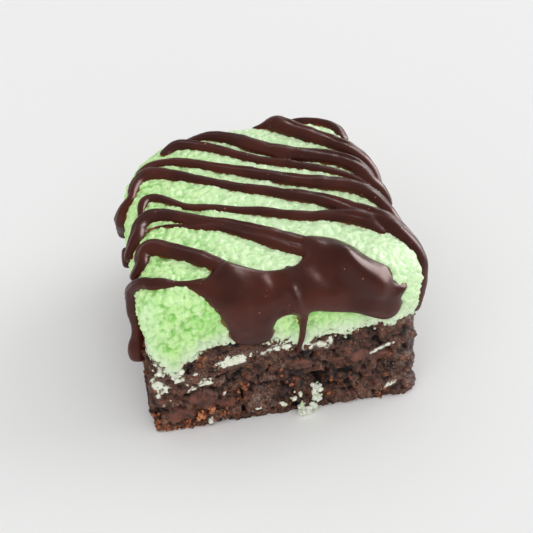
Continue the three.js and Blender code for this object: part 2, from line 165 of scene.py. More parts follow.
# The pool's outline, clockwise from its neck, as x and y plus height: points on the skin seen
# from in front and above
POOL = [
    (4.5, 17), (7.7, 17.2), (11.6, 15.5), (13.4, 14), (15, 12), (16.6, 9.2), (18.5, 7.1), (20, 6),
    (20.8, 3.8), (21.6, 1.5), (23.8, 0.1), (22.9, -2.3), (23, -4.8), (21.9, -6.8), (19.6, -7.4),
    (16, -5.9), (13.2, -4.6), (9.2, -3.7), (5.6, -2.9), (4.5, -3.4), (4.1, -4.8), (3.9, -6.2),
    (3, -6.2), (2.7, -4.6), (2.2, -3.4), (0.8, -2.8), (-1.3, -3.4), (-2.1, -5.2), (-2.2, -7.2),
    (-3.5, -8.7), (-6.5, -8.9), (-9.1, -8.3), (-10.6, -6.4), (-11.2, -4.2), (-12.6, -0.9), (-14.2, 2.3),
    (-16.5, 5.8), (-18, 7.6), (-16, 8.5), (-14.5, 9.1), (-13.2, 10.4), (-12.4, 11.7), (-10, 13.2),
    (-7, 11), (-2.8, 8.9), (2, 9), (4.2, 10.6), (4.8, 12.4),
]

# Ridges and troughs of the pool: from one place to another on its outline's plane, then how much
# thicker or thinner the chocolate is there, and how wide
POOL_FOLDS = [
    ((6, 13.5), (12, 8.5), 0.7, 2.6), ((12, 8.5), (17.6, 1.5), 0.75, 2.4),
    ((1, 3), (2.6, -2.6), 0.6, 1.1), ((8, 6), (14.5, -0.5), -0.5, 2.4),
    ((-10, 9), (-7.4, -3), 0.4, 2.4), ((-2, 6), (-0.4, -0.6), -0.4, 1.6),
]

# Smooth pieces of chocolate cut through in the front face, and hollows: x, height, half width,
# half height and how far they stand out
CHIPS = [
    (-16.2, 7, 2.9, 2, 0.5), (-21, 3.4, 2.8, 1.6, 0.4), (-11.5, 4.6, 2, 1.4, 0.2),
    (3.4, 11.8, 2.2, 1.4, 0.2), (15, 12, 2.2, 1.3, 0.2), (19.6, 11, 2.4, 1.2, 0.1),
    (-24.3, 7, 1.6, 1.2, 0.2),
]
HOLLOWS = [
    (6.2, 7.4, 3.2, 1.5, -2.4), (9.6, 16.4, 0.8, 0.6, -1.2), (18.2, 15.7, 1, 0.5, -1.2),
    (-9.5, 11.6, 1.4, 0.8, -0.9), (-4, 8, 1.6, 0.7, -0.8), (12.3, 8.2, 1.6, 0.7, -0.8),
    (-13, 3.2, 1.3, 0.6, -0.9), (22.4, 8, 1.3, 0.6, -0.7),
]

# Clusters of loose crumbs against the front face: x, height, spread, how many and how far out
MINT_CRUMBS = [
    (3.7, 0.9, 1.1, 90, 1.1), (5.6, 1.1, 0.8, 26, 0.8), (6.5, 3, 0.8, 34, 0.4),
    (6.3, 4.9, 0.9, 30, 0.2), (2.8, 4.7, 0.4, 6, 0.6), (1.5, 3.6, 0.3, 5, 0.6),
    (3.3, 2.3, 0.5, 10, 1), (-24.4, 14.6, 0.9, 18, 0.1), (-21.4, 13, 0.9, 22, 0.2),
    (-15.3, 1.6, 0.4, 9, 0.2),
]
RUSTY_CRUMBS = [
    (-26.4, 3.5, 1, 30, -0.1), (-25.6, 1.4, 1.4, 50, -0.1), (-23.4, 0.9, 1.8, 54, 0),
    (-20, 0.9, 2, 54, 0), (-16, 1, 2, 44, 0.1), (-12.4, 2.2, 1.3, 44, 0.2), (-8.6, 5, 1, 26, 0.1),
    (-8.2, 8.4, 1.2, 22, 0.1), (-16, 16, 2.4, 34, 0.1), (-26, 10, 1, 20, 0), (2, 9.5, 3, 26, 0.1),
    (10, 3, 3, 24, 0.1), (20, 2, 3, 30, 0), (25.6, 8, 1, 14, 0),
]
CARAMEL_BITS = [(-16.6, 3.2, 0.8, 26, 0.5), (-14.6, 4, 0.7, 24, 0.5), (-17.4, 2.4, 0.5, 10, 0.4)]

# Places where brownie is smudged over the mint's front face: x, height, half width and half height
SMUDGES = [(-1.2, 18.6, 3.4, 1.5), (-13, 18.2, 5.5, 1.3), (-25.6, 17.4, 2.2, 1.5)]

# Cream smeared on the brownie's front face: strokes of x, height and width
SMEARS = [
    [(-18.2, 12.9, 0.9), (-16.4, 13.5, 1.2), (-14.5, 14.5, 1.5), (-12.1, 15, 2), (-10, 15.2, 2.6),
     (-7, 16.3, 1.7), (-4.6, 16.4, 1.5), (-2, 16.8, 1.5), (1.1, 16.6, 1.3)],
    [(-23.6, 15.4, 1.6), (-22.1, 13.8, 1.8), (-20.6, 12.4, 1.9), (-19.8, 10.8, 1.8), (-19, 9.8, 1.6),
     (-17, 10.7, 1.7), (-14.6, 10.9, 1.5), (-13.3, 10.2, 0.9)],
    [(-25.2, 12.4, 2), (-24.4, 10.6, 2.4), (-22.6, 10.6, 1.8), (-24.9, 9, 1.2)],
    [(-22.9, 8.4, 1), (-23.6, 7, 0.9), (-24.3, 5.9, 0.7)],
    [(-11.7, 8.6, 0.8), (-12.1, 6.2, 0.6)],
    [(3.2, 17, 1.5), (5.6, 16, 1.6), (8, 15.8, 1.5), (9.2, 17, 1.3)],
    [(17.6, 11.9, 0.6), (19.6, 12.8, 0.8), (22, 13.9, 0.6)],
    [(20.2, 2.4, 0.7), (21.9, 3, 0.9), (23.2, 3.6, 0.7)],
    [(-6.5, 1.8, 0.6), (-4.4, 2.4, 0.8), (-2, 2.2, 0.9), (0.4, 2, 0.7)],
]


def mix(a, b, t):
    return a + (b - a) * t


def ease(low, high, at):
    t = np.clip((at - low) / (high - low), 0, 1)
    return t * t * (3 - 2 * t)


def unit(rows):
    return rows / np.linalg.norm(rows, axis=1, keepdims=True)


def along(points, x):
    """Height of a row of points at x, eased from one point to the next."""
    xs, heights = np.array(points, float).T
    i = np.clip(np.searchsorted(xs, x) - 1, 0, len(xs) - 2)
    return mix(heights[i], heights[i + 1], ease(xs[i], xs[i + 1], x))


def uneven(p, size):
    """Soft unevenness between about -1 and 1, with lumps about `size` across."""
    x, y, z = (p * math.pi / size).T
    return (
        0.5 * np.sin(x + 0.4 * y + 1.3) * np.cos(0.8 * z - 0.5 * y + 0.4)
        + 0.5 * np.sin(1.3 * y + 0.6 * z + 2.1) * np.cos(0.9 * x - 0.7 * z + 4.2)
        + 0.3 * np.sin(1.9 * x + 1.1 * z + 5.2) * np.sin(1.7 * y - 1.3 * z + 0.9)
    )


# Walls of the whole square: undercut low on the left, the mint swelling out over the seam
def left_wall(y, z):
    back = y + HALF_DEPTH
    foot = -HALF_WIDTH + 0.4 + 0.9 * ease(0, 7, z)
    low = foot + back * (0.1 - 0.07 * np.minimum(z, SEAM_HEIGHT) / SEAM_HEIGHT)
    return mix(low, -HALF_WIDTH + 0.05 * back, ease(19, 28, z))


def right_wall(y, z):
    low = HALF_WIDTH + 0.2 - 0.05 * np.minimum(z, SEAM_HEIGHT)
    return mix(low, HALF_WIDTH + 0.1 - 0.02 * (y + HALF_DEPTH), ease(18, 24, z))


def front_wall(z):
    return -27.6 - 0.9 * (1 - ease(0, 5, z)) - 0.4 * ease(18, 26, z)


def plan_norm(u, v):
    power = np.where(v < 0, FRONT_CORNER, np.where(u < 0, BACK_LEFT_CORNER, BACK_RIGHT_CORNER))
    return (np.abs(u) ** power + np.abs(v) ** power) ** (1 / power)


def plan_point(u, v, z):
    """The point at a place in the plan, from -1 to 1 each way, at height z."""
    y = mix(front_wall(z), HALF_DEPTH + 0.5, (v + 1) / 2)
    x = mix(left_wall(y, z), right_wall(y, z), (u + 1) / 2)
    return np.column_stack([x, y, np.broadcast_to(z, x.shape)])


def seam(x, y):
    inner = SEAM_HEIGHT + 0.9 * np.sin(0.17 * y + 0.8) + 0.6 * np.sin(0.23 * x + 2.2)
    return mix(along(FRONT_SEAM, x), inner, ease(0, SEAM_FADE, y + HALF_DEPTH))


def outside(p):
    """How far points are outside the smooth skin of the square, in millimetres."""
    x, y, z = p.T
    left, right = left_wall(y, z), right_wall(y, z)
    front, back = front_wall(z), HALF_DEPTH + 0.5
    norm = plan_norm((2 * x - left - right) / (right - left), (2 * y - front - back) / (back - front))
    inset = (1 - norm) * HALF_WIDTH
    depth = HEIGHT - TOP_FALL * np.minimum(norm, 1) ** 2 - z
    across = np.maximum(RIM_RADIUS - inset, 0)
    over = np.maximum(RIM_RADIUS - depth, 0)
    rounded = np.hypot(across, over) - RIM_RADIUS
    return np.where((across == 0) & (over == 0), -np.minimum(inset, depth), rounded)


def skin_normal(p):
    step = 0.05 * np.eye(3)
    return unit(np.column_stack([outside(p + s) - outside(p - s) for s in step]) + 1e-9)


def onto_skin(p):
    for _ in range(4):
        p = p - skin_normal(p) * outside(p)[:, None]
    return p


def resting(p):
    """Where a strand that passes p lies: on the skin, or hanging straight down from it."""
    level = np.maximum(p[:, 2], HANG_HEIGHT)
    below = (p[:, 2] - level)[:, None] * [0, 0, 1]
    return onto_skin(np.column_stack([p[:, :2], level])) + below


def smooth_line(points, per_span=12):
    """Points along a Catmull-Rom curve through the given ones."""
    pts = np.array(points, float)
    pts = np.vstack([2 * pts[0] - pts[1], pts, 2 * pts[-1] - pts[-2]])
    t = np.arange(per_span)[:, None] / per_span
    spans = [
        b + 0.5 * t * (c - a + t * (2 * a - 5 * b + 4 * c - d + t * (3 * (b - c) + d - a)))
        for a, b, c, d in zip(pts, pts[1:], pts[2:], pts[3:])
    ]
    return np.vstack([*spans, pts[-2:-1]])


def evenly(line, step, axes):
    """The line again, with points `step` apart measured over its first `axes` columns."""
    reach = np.concatenate([[0], np.cumsum(np.linalg.norm(np.diff(line[:, :axes], axis=0), axis=1))])
    at = np.linspace(0, reach[-1], max(int(reach[-1] / step), 3) + 1)
    return at, np.column_stack([np.interp(at, reach, column) for column in line.T])


def cells(p, size):
    """Rounded lumps about `size` across, 1 at their tops and near 0 in the creases."""
    nearest = np.array([noise.voronoi(Vector(q) / size)[0][0] for q in p])
    return 1 - np.clip(nearest * 1.2, 0, 1) ** 2


def rough(p, size, octaves=3):
    """Fractal noise between about -1 and 1."""
    return np.array([noise.fractal(Vector(q) / size, 0.8, 2.1, octaves) for q in p])


def places_of(verts):
    return np.array([v.co for v in verts])


def move_to(verts, places):
    for vert, place in zip(verts, places):
        vert.co = place


def add_to(bm, part):
    """Moves a finished shape into another one."""
    mesh = bpy.data.meshes.new("part")
    part.to_mesh(mesh)
    part.free()
    bm.from_mesh(mesh)
    bpy.data.meshes.remove(mesh)


def unit_block(columns, rows, lid):
    """A closed box from -1 to 1 in plan and 0 to 1 in height, with a grid on its walls.

    Its top has a grid too where lid is true, and is one fan of triangles otherwise.
    """
    bm = bmesh.new()
    bmesh.ops.create_grid(bm, x_segments=columns, y_segments=columns, size=1)
    bmesh.ops.translate(bm, verts=bm.verts, vec=(0, 0, 1))
    rim = [e for e in bm.edges if e.is_boundary]
    if not lid:
        bmesh.ops.delete(bm, geom=bm.faces[:], context="FACES_KEEP_BOUNDARY")
        rim = bm.edges[:]
        top = bmesh.ops.contextual_create(bm, geom=rim)["faces"]
        bmesh.ops.poke(bm, faces=top)
    for _ in range(rows):
        made = bmesh.ops.extrude_edge_only(bm, edges=rim)["geom"]
        lower = [g for g in made if isinstance(g, bmesh.types.BMVert)]
        bmesh.ops.translate(bm, verts=lower, vec=(0, 0, -1 / rows))
        rim = [g for g in made if isinstance(g, bmesh.types.BMEdge) and g.is_boundary]
    floor = bmesh.ops.contextual_create(bm, geom=rim)["faces"]
    bmesh.ops.poke(bm, faces=floor)
    bmesh.ops.recalc_face_normals(bm, faces=bm.faces)
    return bm


def give_values(bm, name, values):
    layer = bm.verts.layers.float.new(name)
    for vert, value in zip(bm.verts, values):
        vert[layer] = value


def piece(bm, name, material, smooth=True):
    """Writes a shape out in metres as a finished piece of the part."""
    bmesh.ops.scale(bm, verts=bm.verts, vec=(MM,) * 3)
    mesh = bpy.data.meshes.new(name)
    bm.to_mesh(mesh)
    bm.free()
    if smooth:
        mesh.shade_smooth()
    obj = bpy.data.objects.new(name, mesh)
    bpy.context.scene.collection.objects.link(obj)
    obj.data.materials.append(material)
    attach(obj, "root")
    return obj


class Value:
    """A socket of a shader, so that sums on it read as plain arithmetic."""

    def __init__(self, shader, socket):
        self.shader = shader
        self.socket = socket

    def combined(self, operation, other):
        return self.shader.node("Math", {"operation": operation}, {0: self, 1: other})

    def __add__(self, other):
        return self.combined("ADD", other)

    def __radd__(self, other):
        return self.combined("ADD", other)

    def __sub__(self, other):
        return self.combined("SUBTRACT", other)

    def __rsub__(self, other):
        return self.shader.node("Math", {"operation": "SUBTRACT"}, {0: other, 1: self})

    def __mul__(self, other):
        return self.combined("MULTIPLY", other)

    def __rmul__(self, other):
        return self.combined("MULTIPLY", other)

    def between(self, low, high):
        """0 below low, 1 above high, eased between; low may be the larger."""
        if low > high:
            return 1 - self.between(high, low)
        settings = {"interpolation_type": "SMOOTHSTEP"}
        inputs = {"Value": self, "From Min": low, "From Max": high}
        return self.shader.node("MapRange", settings, inputs, "Result")


class Shader:
    """A material whose nodes are added one call at a time."""

    def __init__(self, name):
        self.material = bpy.data.materials.new(name)
        self.material.use_nodes = True
        self.tree = self.material.node_tree
        self.surface = self.tree.nodes["Principled BSDF"]
        metres = self.node("TexCoord", {}, {}, "Object")
        scaling = {0: metres, "Scale": 1 / MM}
        self.place = self.node("VectorMath", {"operation": "SCALE"}, scaling, "Vector")

    def node(self, kind, settings, inputs, output=0):
        made = self.tree.nodes.new("ShaderNode" + kind)
        for name, value in settings.items():
            setattr(made, name, value)
        for name, value in inputs.items():
            self.feed(made.inputs[name], value)
        return Value(self, made.outputs[output])

    def feed(self, socket, value):
        if isinstance(value, Value):
            self.tree.links.new(value.socket, socket)
        else:
            socket.default_value = value

    def attribute(self, name):
        return self.node("Attribute", {"attribute_name": name}, {}, "Fac")

    def noise(self, per_mm, detail=3.0, roughness=0.55):
        inputs = {"Vector": self.place, "Scale": per_mm, "Detail": detail, "Roughness": roughness}
        return self.node("TexNoise", {}, inputs, "Fac")

    def lumps(self, per_mm):
        """Distance to the middle of the nearest cell."""
        return self.node("TexVoronoi", {}, {"Vector": self.place, "Scale": per_mm}, "Distance")

    def blend(self, base, over, amount):
        return self.node("Mix", {"data_type": "RGBA"}, {0: amount, 6: base, 7: over}, 2)

    def bump(self, height, reach, strength=1.0):
        """A normal from a height from 0 to 1 that stands `reach` millimetres."""
        inputs = {"Height": height, "Distance": reach * MM, "Strength": strength}
        return self.node("Bump", {}, inputs, "Normal")

    def finish(self, inputs):
        for name, value in inputs.items():
            self.feed(self.surface.inputs[name], value)
        return self.material


def tone(*screen):
    """A colour given as it looks on a screen, as red, green and blue from 0 to 255, as linear light."""
    linear = [c / 12.92 if c <= 0.04045 else ((c + 0.055) / 1.055) ** 2.4 for c in np.array(screen) / 255]
    return (*linear, 1)


def mint_material():
    s = Shader("mint_cream")
    relief = s.attribute("relief")
    above_seam = s.attribute("above_seam")
    pale = s.attribute("pale")
    smudge = s.attribute("smudge")
    patchy = s.noise(0.25)
    grain = s.noise(1.8, 4)
    # Deeper green in the creases between the lumps and lighter on their tops, by the relief values:
    # painted shade and painted light, with a random grain mixed in.
    colour = s.blend(tone(142, 208, 102), tone(202, 241, 166), (relief + 0.4 * grain).between(0.3, 0.9))
    colour = s.blend(colour, tone(158, 222, 118), s.noise(0.16, 2).between(0.5, 0.7) * 0.5)
    # Paler over the top and towards the right side, by the pale values: painted light; also a pale patch
    # on the cut face near the front-left corner.
    colour = s.blend(colour, tone(222, 248, 206), pale * 0.75)
    # Near-white flecks on the tops of the lumps, by the relief values: painted highlights.
    colour = s.blend(colour, tone(238, 253, 228), s.noise(1.5, 3).between(0.58, 0.68) * relief)
    edge = (above_seam + 2 * patchy + 1.2 * grain).between(7.4, 2.6)
    colour = s.blend(colour, tone(220, 234, 206), edge * 0.85)
    pitted = s.noise(1.3, 6, 0.75) + 0.05 * above_seam + 0.25 * patchy - 0.12 * smudge
    pits = pitted.between(0.62, 0.55) * (above_seam.between(4.2, 0.6) + smudge)
    colour = s.blend(colour, tone(88, 58, 45), pits)
    beads = 1 - s.lumps(1.1)
    return s.finish({
        "Base Color": colour,
        "Roughness": 0.46 - 0.2 * grain,
        "Normal": s.bump(beads + 0.5 * grain, 0.32, 0.6),
        "Subsurface Weight": 0.35,
        "Subsurface Radius": (0.8, 1.0, 0.5),
        "Subsurface Scale": 1.0 * MM,
        "Specular IOR Level": 0.3,
    })


def loose_mint_material():
    s = Shader("loose_mint")
    tint = s.attribute("tint")
    shade = s.noise(0.5, 2)
    colour = s.blend(tone(206, 232, 176), tone(240, 246, 224), (0.5 * tint + shade).between(0.4, 0.9))
    stain = s.noise(1.2, 4, 0.7).between(0.62, 0.7)
    colour = s.blend(colour, tone(160, 110, 70), stain * 0.7)
    return s.finish({
        "Base Color": colour,
        "Roughness": 0.4 + 0.2 * s.noise(2),
        "Subsurface Weight": 0.4,
        "Subsurface Radius": (0.8, 1.0, 0.6),
        "Subsurface Scale": 0.8 * MM,
        "Normal": s.bump(s.noise(2.5, 4), 0.2),
    })


def chocolate_material():
    s = Shader("set_chocolate")
    film = s.attribute("film")
    slow = s.noise(0.12, 2)
    colour = s.blend(tone(54, 18, 11), tone(71, 27, 17), slow.between(0.35, 0.65))
    colour = s.blend(colour, tone(132, 62, 38), film.between(0.34, 0.02))
    return s.finish({
        "Base Color": colour,
        "Roughness": 0.26 + 0.14 * s.noise(0.6, 3),
        "Normal": s.bump(s.noise(0.7, 3), 0.07, 0.5),
        "Specular IOR Level": 0.38,
        "Specular Tint": (1, 0.78, 0.74, 1),
    })


def brownie_material():
    s = Shader("brownie_crumb")
    relief = s.attribute("relief")
    chip = s.attribute("chip")
    fine = s.noise(2.2, 5, 0.65)
    broad = s.noise(0.3, 3)
    # Near black where the relief values are low, in pits, hollows and crevices, and lighter on raised
    # crumbs: painted shade, mixed with the fudge's own random mottling.
    height = (0.5 * relief + 0.7 * fine + 0.9 * broad).between(0.82, 1.26)
    colour = s.blend(tone(18, 10, 8), tone(90, 53, 39), height)
    rust = (s.noise(0.9, 6, 0.75) + 0.15 * relief).between(0.62, 0.74)
    colour = s.blend(colour, tone(144, 82, 50), rust * 0.8)
    pale = s.noise(3, 2).between(0.6, 0.7) * broad.between(0.42, 0.56)
    colour = s.blend(colour, tone(146, 106, 84), pale * 0.6)
    # Grey flecks where the broad noise is high: partly dust, partly painted glints standing in for the
    # fudge's small highlights.
    dust_and_glints = (s.noise(2.4, 6, 0.85) + 0.5 * broad).between(0.8, 0.92)
    colour = s.blend(colour, tone(168, 146, 130), dust_and_glints * broad.between(0.46, 0.6) * 0.6)
    mottled = (s.noise(0.5, 5) + 0.3 * fine).between(0.45, 0.8)
    smooth = s.blend(tone(54, 27, 20), tone(112, 62, 45), mottled)
    colour = s.blend(colour, smooth, chip)
    gleam = s.noise(1.7, 4).between(0.5, 0.64)
    return s.finish({
        "Base Color": colour,
        "Roughness": 0.72 - 0.3 * chip - 0.42 * gleam,
        "Normal": s.bump((fine + 0.5 * s.noise(5, 3)) * (1 - 0.7 * chip), 0.4, 0.9),
        "Specular IOR Level": 0.5,
    })


def crumb_material(dark, light):
    s = Shader("loose_crumb")
    tint = s.attribute("tint")
    shade = s.noise(0.8, 3)
    colour = s.blend(dark, light, (0.6 * tint + shade).between(0.5, 0.95))
    return s.finish({
        "Base Color": colour,
        "Roughness": 0.6 + 0.2 * s.noise(3),
        "Normal": s.bump(s.noise(4, 4), 0.2),
        "Specular IOR Level": 0.4,
    })


def cream_material():
    s = Shader("smeared_cream")
    film = s.attribute("film")
    patchy = s.noise(0.9, 5, 0.7)
    colour = s.blend(tone(243, 244, 230), tone(222, 228, 204), patchy.between(0.4, 0.62))
    colour = s.blend(colour, tone(92, 66, 54), (film + 1.2 * patchy).between(1.2, 0.85))
    stain = s.noise(1.6, 5, 0.75).between(0.57, 0.66)
    colour = s.blend(colour, tone(92, 62, 48), stain * 0.8)
    return s.finish({
        "Base Color": colour,
        "Roughness": 0.45 + 0.2 * patchy,
        "Subsurface Weight": 0.3,
        "Subsurface Radius": (1, 1, 0.8),
        "Subsurface Scale": 0.6 * MM,
        "Normal": s.bump(s.noise(2.5, 4), 0.2),
    })


def mint_shape():
    """The mint layer: smooth over the top, coarse and lumpy where it was cut."""
    bm = unit_block(MINT_COLUMNS, MINT_ROWS, lid=True)
    u, v, k = places_of(bm.verts).T
    ring = np.maximum(np.abs(u), np.abs(v))
    flat = HALF_WIDTH - RIM_RADIUS
    along_top = ring * (flat + RIM_RADIUS * math.pi / 2)
    angle = np.clip((along_top - flat) / RIM_RADIUS, 0, math.pi / 2)
    on_lid = k > 0.999
    inward = np.where(along_top < flat, along_top, flat + RIM_RADIUS * np.sin(angle))
    norm = np.where(on_lid, inward / HALF_WIDTH, 1)
    fall = np.where(on_lid, RIM_RADIUS * (1 - np.cos(angle)), RIM_RADIUS)
    reach = np.where(ring > 0, norm / np.maximum(plan_norm(u, v), 1e-6), 0)
    reach = np.where((ring == 0) & ~on_lid, 0, reach)
    u, v = u * reach, v * reach
    upper = HEIGHT - TOP_FALL * norm ** 2 - fall
    foot = plan_point(u, v, np.full(len(u), SEAM_HEIGHT))
    meets = seam(foot[:, 0], foot[:, 1])
    z = mix(meets - LAYER_LAP, upper, np.where(on_lid, 1, k))
    p = plan_point(u, v, z)
    out = skin_normal(p)
    cut = ease(-24, -27, p[:, 1])
    left = ease(-24, -26.5, p[:, 0])
    coarse = np.maximum(np.maximum(cut, left), 0.75 * ease(-8, -20, p[:, 0] + 0.4 * p[:, 1]))
    grains = cells(p + 0.4 * rough(p, 1.5)[:, None], 1.35)
    fine = cells(p + 7.7, 0.7)
    lumps = 0.22 * uneven(p, 5) + 0.5 * cut * uneven(p, 3.4) + 0.2 * rough(p, 2.4)
    relief = lumps + mix(0.42, 0.62, coarse) * (grains - 0.6) + mix(0.24, 0.46, coarse) * (fine - 0.6)
    corner = ease(-26, -27.8, p[:, 0]) * ease(-26, -27.6, p[:, 1])
    tuck = 0.75 * ease(meets + 0.9, meets - LAYER_LAP, z) + 0.9 * corner - 0.1
    p = p + out * (relief - tuck)[:, None]
    move_to(bm.verts, p)
    # The relief values: high on the lumps' tops and low in the creases, for the painted shade and painted
    # highlights of the mint's colour.
    give_values(bm, "relief", 0.6 * grains + 0.4 * fine + 0.25 * uneven(p, 5))
    give_values(bm, "above_seam", z - meets)
    # The pale values: high over the top and towards the right side, for painted light, and on the cut
    # face near the front-left corner.
    pale = np.maximum(ease(29, 33, z) * ease(-30, 8, p[:, 0]), ease(12, 24, p[:, 0]))
    give_values(bm, "pale", np.maximum(pale, 0.8 * cut * ease(-22, -27, p[:, 0])))
    smudge = np.zeros(len(u))
    for x, height, wide, high in SMUDGES:
        away = np.hypot((p[:, 0] - x) / wide, (z - height) / high)
        smudge = np.maximum(smudge, cut * ease(1.1, 0.3, away))
    give_values(bm, "smudge", smudge)
    return bm


def base_shape():
    """The brownie: crumbly walls with crags, and smooth chips of chocolate cut through in front."""
    bm = unit_block(BASE_COLUMNS, BASE_ROWS, lid=False)
    u, v, k = places_of(bm.verts).T
    middle = (u == 0) & (v == 0)
    reach = np.where(middle, 0, 1 / np.maximum(plan_norm(u, v), 1e-6))
    u, v = u * reach, v * reach
    foot = plan_point(u, v, np.full(len(u), SEAM_HEIGHT))
    meets = seam(foot[:, 0], foot[:, 1])
    z = k * (meets + LAYER_LAP)
    p = plan_point(u, v, z)
    out = skin_normal(np.column_stack([p[:, :2], np.minimum(p[:, 2], SEAM_HEIGHT)]))
    front = ease(-26.5, -27.3, p[:, 1])
    stands = mix(0.5, 0.3, front) * uneven(p, 4.5) + mix(0.5, 0.36, front) * rough(p, 2.6, 5)
    for x, height, radius, far in FRONT_CRAGS:
        away = np.hypot(p[:, 0] - x, z - height)
        stands += front * far * (1 - ease(0, radius, away))
    crumbs = cells(p + 0.4 * rough(p, 1.3)[:, None], 1.7)
    fine = cells(p + 3.1, 0.7)
    pits = ease(0.3, 0.7, rough(p + 11, 1.7, 3))
    relief = 0.45 * (crumbs - 0.6) + 0.4 * (fine - 0.6) - 1.3 * pits
    chip = np.zeros(len(u))
    for x, height, wide, high, far in CHIPS + HOLLOWS:
        away = np.hypot((p[:, 0] - x) / wide, (z - height) / high) + 0.14 * rough(p, 1.6)
        inside = front * ease(1.08, 0.88 if far > 0 else 0.5, away)
        relief = mix(relief, far * (1 - 0.15 * away ** 2), inside)
        if far > 0:
            chip = np.maximum(chip, inside)
        else:
            # A hollow also counts as a pit in the relief values below, so the material paints it darker:
            # painted shade.
            pits = np.maximum(pits, inside)
    corner = ease(-24, -27.5, p[:, 0]) * ease(4, 0, z)
    foot_round = 0.4 * (1 - ease(0, 0.9, z + 0.3 * rough(p, 1.7))) + 1.2 * corner
    tuck = 0.9 * ease(meets - 0.6, meets + LAYER_LAP, z) + foot_round - 0.3
    moved = p + out * np.where(middle, 0, stands + relief - tuck)[:, None]
    moved[:, 2] = np.maximum(np.where(k == 0, 0, moved[:, 2]), 0)
    move_to(bm.verts, moved)
    # The relief values are low in pits and hollows, where the brownie material paints shade.
    give_values(bm, "relief", 0.5 * crumbs + 0.5 * fine - 0.6 * pits)
    give_values(bm, "chip", chip)
    return bm


def add_strand(bm, route):
    """One poured strand: a flattened tube with rounded ends that lies on the skin."""
    guide = np.array([(x, y, rest[0] if rest else HEIGHT, width) for x, y, width, *rest in route], float)
    guide[:, :3] = resting(guide[:, :3])
    reach, line = evenly(smooth_line(guide), STRAND_STEP, 3)
    centre = resting(line[:, :3])
    course = unit(np.gradient(centre, axis=0))
    out = skin_normal(centre)
    out = unit(out - course * np.sum(out * course, axis=1)[:, None])
    side = np.cross(course, out)
    half = line[:, 3] / 2 * (1 + 0.08 * uneven(centre, 3.5)) + 0.06
    to_end = np.clip(np.minimum(reach, reach[-1] - reach) / half, 0.02, 1)
    half = half * np.sqrt(1 - (1 - to_end) ** 2)
    hanging = np.minimum(HANGING_FULLNESS / (half + 1), 1.5)
    settled = STRAND_FLATNESS * mix(0.35, 1, ease(0, 5, np.minimum(reach, reach[-1] - reach)))
    rise = half * mix(hanging, settled, np.clip(out[:, 2], 0, 1))
    centre = centre + out * (STRAND_LIFT * rise)[:, None]
    tube = bmesh.new()
    bmesh.ops.create_cone(tube, cap_ends=True, segments=STRAND_SIDES, radius1=1, radius2=1, depth=1)
    lengthwise = [e for e in tube.edges if abs(e.verts[0].co.z - e.verts[1].co.z) > 0.5]
    bmesh.ops.subdivide_edges(tube, edges=lengthwise, cuts=len(reach) - 2)
    x, y, z = places_of(tube.verts).T
    i = np.rint((z + 0.5) * (len(reach) - 1)).astype(int)
    drift = 0.35 * uneven(centre[i] + 20, 14)
    double = np.clip(0.5 + uneven(centre[i], 11), 0, 1)
    groove = GROOVE_DEPTH * double * np.exp(-(((x - drift) / 0.22) ** 2))
    y = np.where(y > 0, y * (1 - groove), y)
    move_to(tube.verts, centre[i] + side[i] * (x * half[i])[:, None] + out[i] * (y * rise[i])[:, None])
    add_to(bm, tube)


def line_distance(places, a, b):
    """Distance of flat places to the straight line from a to b."""
    d = b - a
    t = np.clip(((places - a) @ d) / (d @ d), 0, 1)
    return np.linalg.norm(places - a - t[:, None] * d, axis=1)


def inside_distance(places, outline):
    """Distance of flat places to a closed outline, positive inside it."""
    ends = np.roll(outline, -1, axis=0)
    best = np.full(len(places), 1e9)
    crossings = np.zeros(len(places), int)
    for a, b in zip(outline, ends):
        best = np.minimum(best, line_distance(places, a, b))
        spans = (a[1] > places[:, 1]) != (b[1] > places[:, 1])
        with np.errstate(divide="ignore", invalid="ignore"):
            crossing = a[0] + (places[:, 1] - a[1]) / (b[1] - a[1]) * (b[0] - a[0])
        crossings += spans & (places[:, 0] < crossing)
    return np.where(crossings % 2 == 1, best, -best)


def add_pool(bm):
    """The pool: a draped sheet, full to its rounded edge, sunk into the mint around it."""
    outline = smooth_line([*POOL, POOL[0]], 6)[:-1]
    low, high = outline.min(0) - 1.2, outline.max(0) + 1.2
    size = high - low
    sheet = bmesh.new()
    columns, rows = (size / POOL_STEP).astype(int).tolist()
    bmesh.ops.create_grid(sheet, x_segments=columns, y_segments=rows, size=0.5)
    flat = places_of(sheet.verts)[:, :2] * size + (low + high) / 2
    deep = inside_distance(flat, outline)
    near, far = np.full(len(flat), 8.0), np.full(len(flat), 46.0)
    for _ in range(24):
        middle = (near + far) / 2
        p = np.column_stack([flat[:, 0], flat[:, 1] / 2 - middle, flat[:, 1] / 2 + middle])
        is_out = outside(p) > 0
        near, far = np.where(is_out, near, middle), np.where(is_out, middle, far)
    full = np.sqrt(1 - (1 - np.clip(deep / POOL_EDGE, 0, 1)) ** 2) * (1 - 0.2 * ease(POOL_EDGE, 8, deep))
    swell = 0.1 * uneven(p, 7) + 0.08 * uneven(p + 9, 4)
    for a, b, height, width in POOL_FOLDS:
        swell += height * np.exp(-((line_distance(flat, np.array(a), np.array(b)) / width) ** 2))
    thick = POOL_THICKNESS * full * (1 + swell * ease(0, 2, deep)) + np.minimum(deep, 0)
    move_to(sheet.verts, p + skin_normal(p) * thick[:, None])
    spare = [vert for vert, d in zip(sheet.verts, deep) if d < -1.1]
    bmesh.ops.delete(sheet, geom=spare, context="VERTS")
    bmesh.ops.recalc_face_normals(sheet, faces=sheet.faces)
    bmesh.ops.solidify(sheet, geom=sheet.faces[:], thickness=POOL_ROOT)
    add_to(bm, sheet)


